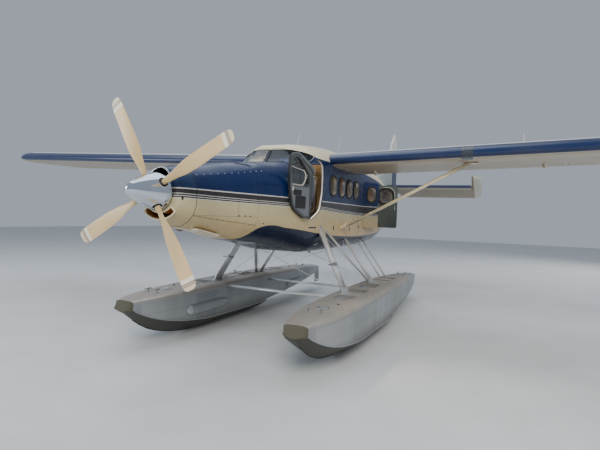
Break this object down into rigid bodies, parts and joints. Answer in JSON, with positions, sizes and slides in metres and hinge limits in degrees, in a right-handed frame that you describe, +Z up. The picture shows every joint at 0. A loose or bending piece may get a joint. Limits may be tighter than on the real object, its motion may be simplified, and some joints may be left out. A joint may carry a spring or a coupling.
{
  "type": "single-engine turboprop utility floatplane",
  "caption": "High-wing strutted utility aircraft on twin floats, with a turboprop nose, hollow cabin, hinged doors, spinning propeller and moving control surfaces.",
  "frame": {"origin": "on the ground plane below the middle of the aircraft's length, on its centreline, at the height of the floats' keels", "axes": "+X to port (along the span), +Y aft, +Z up"},
  "size_m": [17.68, 14.04, 5.54],
  "materials": {
    "navy_paint": "gloss navy paint",
    "cream_paint": "gloss cream paint",
    "bare_aluminium": "dull bare sheet",
    "polished_aluminium": "polished",
    "engine_steel": "heat-stained steel",
    "spinner_polish": "mirror polish",
    "blade_paint": "cream and tan paint",
    "window_glass": "clear acrylic",
    "cabin_board": "painted board and lining",
    "panel_plastic": "matt black",
    "seat_cloth": "woven cloth",
    "bumper_rubber": "moulded rubber"
  },
  "bodies": {
    "airframe": {"nose_bowl": "cream_paint", "upper_cowl": "navy_paint", "lower_cowl": "cream_paint", "firewall": "bare_aluminium", "engine_block": "engine_steel", "exhaust_stack": "engine_steel", "cockpit_shell": "navy_paint", "cabin_shell": "navy_paint", "tail_cone": "navy_paint", "cabin_floor": "cabin_board", "aft_bulkhead": "cabin_board", "instrument_panel": "panel_plastic", "pilot_seat_port": "seat_cloth", "pilot_seat_starboard": "seat_cloth", "windshield_port": "window_glass", "windshield_starboard": "window_glass", "window_row_port": "window_glass", "window_row_starboard": "window_glass", "wing_port": "navy_paint", "wing_starboard": "navy_paint", "wing_strut_port": "cream_paint", "wing_strut_starboard": "cream_paint", "float_port": "bare_aluminium", "float_starboard": "bare_aluminium", "bow_bumper_port": "bumper_rubber", "bow_bumper_starboard": "bumper_rubber", "float_strut_front_port": "polished_aluminium", "float_strut_front_starboard": "polished_aluminium", "float_strut_diagonal_port": "polished_aluminium", "float_strut_diagonal_starboard": "polished_aluminium", "float_strut_rear_port": "polished_aluminium", "float_strut_rear_starboard": "polished_aluminium", "spreader_bar_fore": "polished_aluminium", "spreader_bar_aft": "polished_aluminium", "boarding_ladder": "polished_aluminium", "tailplane": "navy_paint", "fin": "cream_paint"},
    "propeller": {"propeller_hub": "engine_steel", "spinner": "spinner_polish", "propeller_blade_1": "blade_paint", "propeller_blade_2": "blade_paint", "propeller_blade_3": "blade_paint", "propeller_blade_4": "blade_paint"},
    "cockpit_door_port": {"cockpit_door_port": "navy_paint", "cockpit_glass_port": "window_glass"},
    "cockpit_door_starboard": {"cockpit_door_starboard": "navy_paint", "cockpit_glass_starboard": "window_glass"},
    "cargo_door_fore": {"cargo_door_fore": "navy_paint"},
    "cargo_door_aft": {"cargo_door_aft": "navy_paint"},
    "cabin_door_starboard": {"cabin_door_starboard": "navy_paint"},
    "rudder": {"rudder": "navy_paint"},
    "aileron_port": {"aileron_port": "cream_paint"},
    "aileron_starboard": {"aileron_starboard": "cream_paint"},
    "flap_port": {"flap_port": "cream_paint"},
    "flap_starboard": {"flap_starboard": "cream_paint"},
    "elevator_port": {"elevator_port": "navy_paint"},
    "elevator_starboard": {"elevator_starboard": "navy_paint"},
    "water_rudder_port": {"water_rudder_port": "bare_aluminium"},
    "water_rudder_starboard": {"water_rudder_starboard": "bare_aluminium"}
  },
  "joints": [
    {"name": "propeller_spin", "type": "hinge", "parent": "airframe", "child": "propeller", "pos_m": [0, -6.62, 2.5], "axis": [0, 1, 0], "continuous": true},
    {"name": "cockpit_door_port_hinge", "type": "hinge", "parent": "airframe", "child": "cockpit_door_port", "pos_m": [0.80262, -3.62, 2.5], "axis": [0, 0, 1], "range_deg": [0, 184]},
    {"name": "cockpit_door_starboard_hinge", "type": "hinge", "parent": "airframe", "child": "cockpit_door_starboard", "pos_m": [-0.80262, -3.62, 2.5], "axis": [0, 0, 1], "range_deg": [0, 184]},
    {"name": "cargo_door_fore_hinge", "type": "hinge", "parent": "airframe", "child": "cargo_door_fore", "pos_m": [0.80971, -0.12, 2.5], "axis": [0, 0, 1], "range_deg": [-98, 22]},
    {"name": "cargo_door_aft_hinge", "type": "hinge", "parent": "airframe", "child": "cargo_door_aft", "pos_m": [0.784, 1.08, 2.5], "axis": [0, 0, 1], "range_deg": [-90, 60]},
    {"name": "cabin_door_starboard_hinge", "type": "hinge", "parent": "airframe", "child": "cabin_door_starboard", "pos_m": [-0.80971, -0.12, 2.5], "axis": [0, 0, 1], "range_deg": [0, 120]},
    {"name": "rudder_hinge", "type": "hinge", "parent": "airframe", "child": "rudder", "pos_m": [0, 6.14, 3.45], "axis": [0, 0, 1], "range_deg": [-25, 25]},
    {"name": "elevator_port_hinge", "type": "hinge", "parent": "airframe", "child": "elevator_port", "pos_m": [1.5, 6.14, 3.45], "axis": [1, 0, 0], "range_deg": [0, 50]},
    {"name": "elevator_starboard_hinge", "type": "hinge", "parent": "airframe", "child": "elevator_starboard", "pos_m": [-1.5, 6.14, 3.45], "axis": [1, 0, 0], "range_deg": [0, 50]},
    {"name": "aileron_port_hinge", "type": "hinge", "parent": "airframe", "child": "aileron_port", "pos_m": [5.06, -1.0184, 3.51193], "axis": [0.9994, 0, 0.0349], "range_deg": [-20, 20]},
    {"name": "aileron_starboard_hinge", "type": "hinge", "parent": "airframe", "child": "aileron_starboard", "pos_m": [-5.06, -1.0184, 3.51193], "axis": [0.9994, 0, -0.0349], "range_deg": [-20, 20]},
    {"name": "flap_port_hinge", "type": "hinge", "parent": "airframe", "child": "flap_port", "pos_m": [1, -1.0684, 3.23598], "axis": [0.9994, 0, 0.0349], "range_deg": [-40, 0]},
    {"name": "flap_starboard_hinge", "type": "hinge", "parent": "airframe", "child": "flap_starboard", "pos_m": [-1, -1.0684, 3.23598], "axis": [0.9994, 0, -0.0349], "range_deg": [-40, 0]},
    {"name": "water_rudder_port_hinge", "type": "hinge", "parent": "airframe", "child": "water_rudder_port", "pos_m": [1.51, 2.54, 0.61], "axis": [0, 0, 1], "range_deg": [-30, 30]},
    {"name": "water_rudder_starboard_hinge", "type": "hinge", "parent": "airframe", "child": "water_rudder_starboard", "pos_m": [-1.51, 2.54, 0.61], "axis": [0, 0, 1], "range_deg": [-30, 30]}
  ],
  "couplings": [
    {"joint": "elevator_starboard_hinge", "follows": "elevator_port_hinge", "ratio": 1},
    {"joint": "aileron_starboard_hinge", "follows": "aileron_port_hinge", "ratio": -1},
    {"joint": "flap_starboard_hinge", "follows": "flap_port_hinge", "ratio": 1},
    {"joint": "water_rudder_starboard_hinge", "follows": "water_rudder_port_hinge", "ratio": 1}
  ]
}
